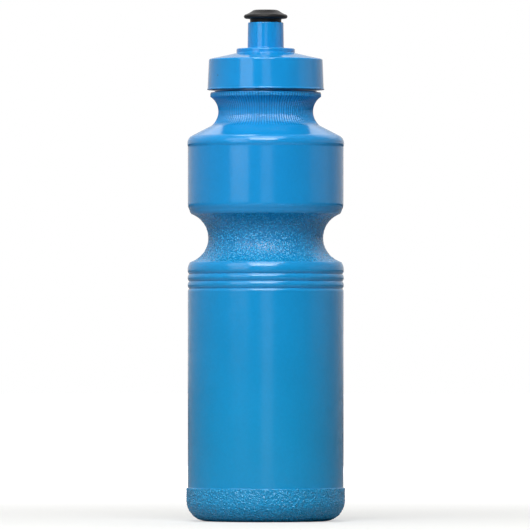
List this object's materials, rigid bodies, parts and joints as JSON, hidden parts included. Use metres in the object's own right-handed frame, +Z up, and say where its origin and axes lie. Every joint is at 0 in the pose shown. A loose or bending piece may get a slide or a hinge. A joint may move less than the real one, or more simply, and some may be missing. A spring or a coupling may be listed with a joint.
{
  "type": "sports squeeze bottle",
  "caption": "Squeeze bottle with a waisted grip, ribbed barrel, screw lid with turret and a push-pull drinking valve.",
  "frame": {"origin": "centre of the standing ring, on the surface the bottle stands on", "axes": "+Z up along the bottle's axis; the bottle is round, and the mould's parting line runs up its +X and -X sides"},
  "size_m": [0.0752, 0.0752, 0.2432],
  "materials": {
    "body_plastic": "satin blue LDPE, grained at the waist and foot",
    "lid_plastic": "smooth glossy blue",
    "valve_plastic": "soft satin black",
    "gasket_foam": "white closed-cell liner"
  },
  "bodies": {
    "bottle": {"bottle_body": "body_plastic"},
    "seal": {"lid_gasket": "gasket_foam"},
    "lid": {"lid": "lid_plastic", "valve_core": "lid_plastic"},
    "valve": {"push_pull_valve": "valve_plastic"}
  },
  "joints": [
    {"name": "lid_lift", "type": "slide", "parent": "bottle", "child": "seal", "axis": [0, 0, 1], "range_m": [0, 0.0168]},
    {"name": "lid_turn", "type": "hinge", "parent": "seal", "child": "lid", "pos_m": [0, 0, 0.2125], "axis": [0, 0, 1], "range_deg": [0, 1440]},
    {"name": "valve_pull", "type": "slide", "parent": "lid", "child": "valve", "axis": [0, 0, 1], "range_m": [0, 0.006]}
  ],
  "couplings": [
    {"joint": "lid_lift", "follows": "lid_turn", "m_per_rad": 0.00066845}
  ]
}
